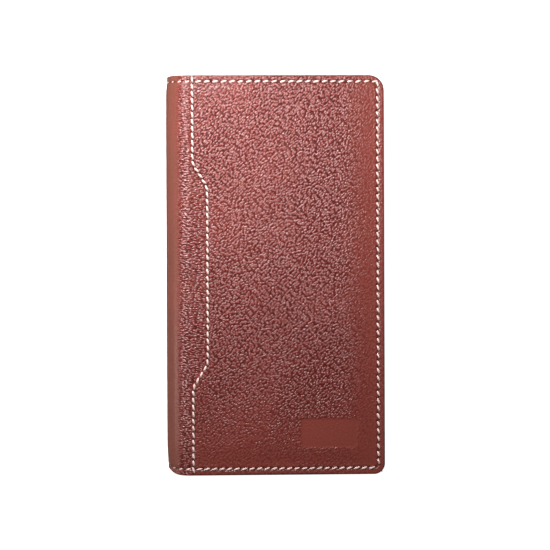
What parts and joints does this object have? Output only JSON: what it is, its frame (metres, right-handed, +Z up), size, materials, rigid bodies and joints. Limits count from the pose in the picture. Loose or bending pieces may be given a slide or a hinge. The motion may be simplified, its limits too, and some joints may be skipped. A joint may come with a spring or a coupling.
{
  "type": "long wallet",
  "caption": "Long bifold leather wallet with a rounded spine and stepped, stitched cover panels. It opens flat to card pockets and a zipped coin pouch.",
  "frame": {"origin": "middle of the closed wallet's footprint, on the surface that its back cover lies on", "axes": "X from the spine to the fore-edge, +Y along the wallet's length to its top end, +Z up through the closed wallet, out of its front cover"},
  "size_m": [0.1, 0.185, 0.022],
  "materials": {
    "outer_leather": "red-brown pebbled leather, satin",
    "inner_leather": "red-brown fine leather",
    "lining": "dark woven lining",
    "foam": "padding",
    "board": "stiffener board",
    "thread": "waxed pale thread",
    "zip_tape": "woven tape",
    "zip_coil": "nylon coil",
    "zip_metal": "pale plated zip metal"
  },
  "bodies": {
    "back": {"back_leather_panel": "outer_leather", "back_edge_seam_thread": "thread", "back_contour_seam_thread": "thread", "back_foam_pad": "foam", "back_stiffener_board": "board", "back_lining": "lining", "back_pocket_panel": "inner_leather", "spine_leather_back_flap": "outer_leather", "spine_lining_back_flap": "lining", "pouch_floor": "lining", "pouch_face": "inner_leather", "pouch_spine_gusset": "lining", "pouch_top_gusset": "inner_leather", "pouch_bottom_gusset": "inner_leather", "pouch_seam_thread": "thread", "pouch_slip_pocket": "inner_leather", "zip_lower_tape": "zip_tape", "zip_upper_tape": "zip_tape", "zip_lower_coil": "zip_coil", "zip_upper_coil": "zip_coil", "zip_lower_top_stop": "zip_metal", "zip_upper_top_stop": "zip_metal", "zip_bottom_stop": "zip_metal"},
    "spine_low": {"spine_leather_strip_3": "outer_leather", "spine_lining_strip_3": "lining"},
    "spine_middle": {"spine_leather_strip_2": "outer_leather", "spine_lining_strip_2": "lining"},
    "spine_high": {"spine_leather_strip_1": "outer_leather", "spine_lining_strip_1": "lining"},
    "front": {"front_leather_panel": "outer_leather", "front_edge_seam_thread": "thread", "front_contour_seam_thread": "thread", "front_foam_pad": "foam", "front_stiffener_board": "board", "front_lining": "lining", "front_pocket_panel": "inner_leather", "card_pocket_1": "inner_leather", "card_pocket_2": "inner_leather", "card_pocket_3": "inner_leather", "card_pocket_4": "inner_leather", "card_pocket_5": "inner_leather", "card_pocket_6": "inner_leather", "card_pocket_7": "inner_leather", "card_pocket_8": "inner_leather", "spine_leather_front_flap": "outer_leather", "spine_lining_front_flap": "lining"},
    "zip_slider": {"zip_slider": "zip_metal"},
    "zip_pull": {"zip_pull": "zip_metal"}
  },
  "joints": [
    {"name": "fold_1", "type": "hinge", "parent": "back", "child": "spine_low", "pos_m": [-0.04383, 0, 0.00176], "axis": [0, -1, 0], "range_deg": [0, 45]},
    {"name": "fold_2", "type": "hinge", "parent": "spine_low", "child": "spine_middle", "pos_m": [-0.04924, 0, 0.00717], "axis": [0, -1, 0], "range_deg": [0, 45]},
    {"name": "fold_3", "type": "hinge", "parent": "spine_middle", "child": "spine_high", "pos_m": [-0.04924, 0, 0.01483], "axis": [0, -1, 0], "range_deg": [0, 45]},
    {"name": "fold_4", "type": "hinge", "parent": "spine_high", "child": "front", "pos_m": [-0.04383, 0, 0.02024], "axis": [0, -1, 0], "range_deg": [0, 45]},
    {"name": "zip_slide", "type": "slide", "parent": "back", "child": "zip_slider", "axis": [0, -1, 0], "range_m": [0, 0.149]},
    {"name": "pull_swing", "type": "hinge", "parent": "zip_slider", "child": "zip_pull", "pos_m": [0.0457, 0.074, 0.0096], "axis": [0, 0, 1], "range_deg": [0, 170]}
  ],
  "couplings": [
    {"joint": "fold_2", "follows": "fold_1", "ratio": 1},
    {"joint": "fold_3", "follows": "fold_1", "ratio": 1},
    {"joint": "fold_4", "follows": "fold_1", "ratio": 1}
  ]
}
